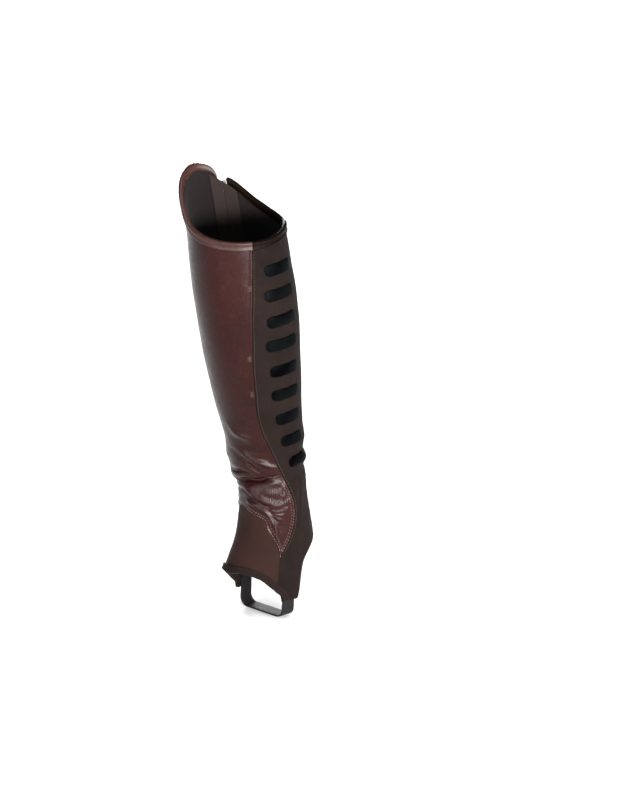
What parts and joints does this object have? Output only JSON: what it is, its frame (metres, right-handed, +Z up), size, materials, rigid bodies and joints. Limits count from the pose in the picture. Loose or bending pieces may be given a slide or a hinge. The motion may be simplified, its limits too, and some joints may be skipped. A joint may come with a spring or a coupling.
{
  "type": "half chap",
  "caption": "Leather half chap for the right lower leg, hollow and in its worn form, with a curved top, grip bars inside, a zip behind and a strap under the foot.",
  "frame": {"origin": "the middle of the calf inside the hollow, 362 mm above the floor that the boot would stand on, where the wearer's leg holds the chap", "axes": "+Z up the leg, -Y to the front of the leg, +X to the medial side of a right leg"},
  "size_m": [0.1119, 0.1532, 0.4876],
  "materials": {
    "leather": "smooth dark brown, slightly waxed",
    "grip_cloth": "matte suede-like grip cloth",
    "stretch_cloth": "matte stretch cloth",
    "top_binding": "satin brown",
    "inner_binding": "satin dark brown",
    "hem_binding": "ribbed elastic binding",
    "silicone": "satin black",
    "elastic": "woven elastic",
    "zip_tape": "woven tape",
    "zip_teeth": "satin",
    "dark_metal": "black lacquer",
    "pull_cord": "satin black"
  },
  "bodies": {
    "chap": {"outer_panel": "leather", "inner_panel": "grip_cloth", "instep_panel": "stretch_cloth", "top_binding_outer": "top_binding", "top_binding_inner": "inner_binding", "hem_binding": "hem_binding", "grip_bar_1": "silicone", "grip_bar_2": "silicone", "grip_bar_3": "silicone", "grip_bar_4": "silicone", "grip_bar_5": "silicone", "grip_bar_6": "silicone", "grip_bar_7": "silicone", "grip_bar_8": "silicone", "grip_bar_9": "silicone", "top_patch": "leather", "underfoot_strap": "elastic", "zip_tape_front": "zip_tape", "zip_tape_back": "zip_tape", "zip_chain": "zip_teeth", "zip_box": "dark_metal", "zip_slider": "dark_metal"},
    "pull": {"zip_pull": "pull_cord"}
  },
  "joints": [
    {"name": "pull_swing", "type": "hinge", "parent": "chap", "child": "pull", "pos_m": [-0.04602, 0.01382, 0.10962], "axis": [0.5914, 0.7885, 0.169], "range_deg": [0, 150]}
  ]
}
